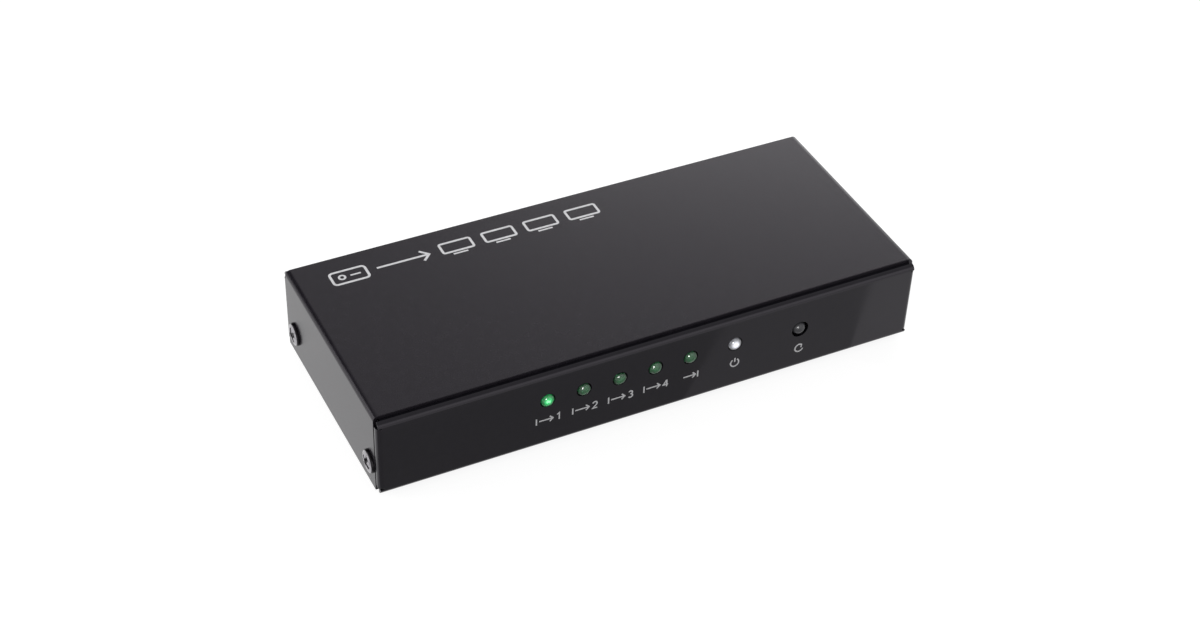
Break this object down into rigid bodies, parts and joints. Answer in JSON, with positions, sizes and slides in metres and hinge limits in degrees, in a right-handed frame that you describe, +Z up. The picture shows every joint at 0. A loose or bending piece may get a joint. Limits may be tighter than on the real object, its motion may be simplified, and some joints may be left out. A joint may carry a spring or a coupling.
{
  "type": "video splitter",
  "caption": "Low black box of folded sheet steel with lamps and a reset button in front and a row of video sockets behind.",
  "frame": {"origin": "centre of the whole object's box, on the surface that the feet stand on", "axes": "+X to the right seen from the front, +Y to the back with the sockets, +Z up"},
  "size_m": [0.1422, 0.0614, 0.0238],
  "materials": {
    "base_paint": "semi-gloss black paint",
    "cover_paint": "satin black paint with a fine grain",
    "screw_steel": "black-nickel plated, glossy",
    "bright_steel": "zinc plated",
    "foot_rubber": "matt",
    "standoff_brass": "turned",
    "board_laminate": "glass laminate under green lacquer",
    "socket_nickel": "nickel plated, bright",
    "insulator_plastic": "moulded",
    "contact_gold": "gold flashed",
    "jack_plastic": "moulded, fine grain",
    "tinned_leads": "tinned",
    "button_plastic": "moulded, satin",
    "chip_epoxy": "moulded epoxy",
    "pad_silicone": "soft",
    "sink_aluminium": "anodised",
    "ferrite": "sintered",
    "can_aluminium": "satin",
    "part_ceramic": "sintered",
    "lamp_green_lit": "tinted clear epoxy, lit",
    "lamp_green": "tinted clear epoxy",
    "lamp_clear": "clear epoxy, lit white"
  },
  "bodies": {
    "case": {"base_chassis": "base_paint", "board_screws": "bright_steel", "board_standoffs": "standoff_brass", "ceramic_parts": "part_ceramic", "chip_leads": "tinned_leads", "clock_crystal": "tinned_leads", "cover_screws": "screw_steel", "filter_capacitors": "can_aluminium", "heat_sink": "sink_aluminium", "in_lamp": "lamp_green", "lamp_holders": "jack_plastic", "lamp_leads": "tinned_leads", "main_board": "board_laminate", "memory_chip": "chip_epoxy", "out_1_lamp": "lamp_green_lit", "out_2_lamp": "lamp_green", "out_3_lamp": "lamp_green", "out_4_lamp": "lamp_green", "power_inductor": "ferrite", "power_jack_housing": "jack_plastic", "power_jack_pin": "socket_nickel", "power_jack_spring": "contact_gold", "power_lamp": "lamp_clear", "reset_snap_dome": "tinned_leads", "reset_switch_base": "jack_plastic", "reset_switch_cover": "tinned_leads", "reset_switch_terminals": "tinned_leads", "rubber_feet": "foot_rubber", "splitter_chip": "chip_epoxy", "thermal_pad": "pad_silicone", "top_cover": "cover_paint", "video_in_contacts": "contact_gold", "video_in_insulator": "insulator_plastic", "video_in_shell": "socket_nickel", "video_out_1_contacts": "contact_gold", "video_out_1_insulator": "insulator_plastic", "video_out_1_shell": "socket_nickel", "video_out_2_contacts": "contact_gold", "video_out_2_insulator": "insulator_plastic", "video_out_2_shell": "socket_nickel", "video_out_3_contacts": "contact_gold", "video_out_3_insulator": "insulator_plastic", "video_out_3_shell": "socket_nickel", "video_out_4_contacts": "contact_gold", "video_out_4_insulator": "insulator_plastic", "video_out_4_shell": "socket_nickel", "voltage_regulator": "chip_epoxy"},
    "reset_plunger": {"reset_button": "button_plastic"}
  },
  "joints": [
    {"name": "reset_press", "type": "slide", "parent": "case", "child": "reset_plunger", "axis": [0, 1, 0], "range_m": [0, 0.00025], "stiffness_N_per_m": 6400}
  ]
}
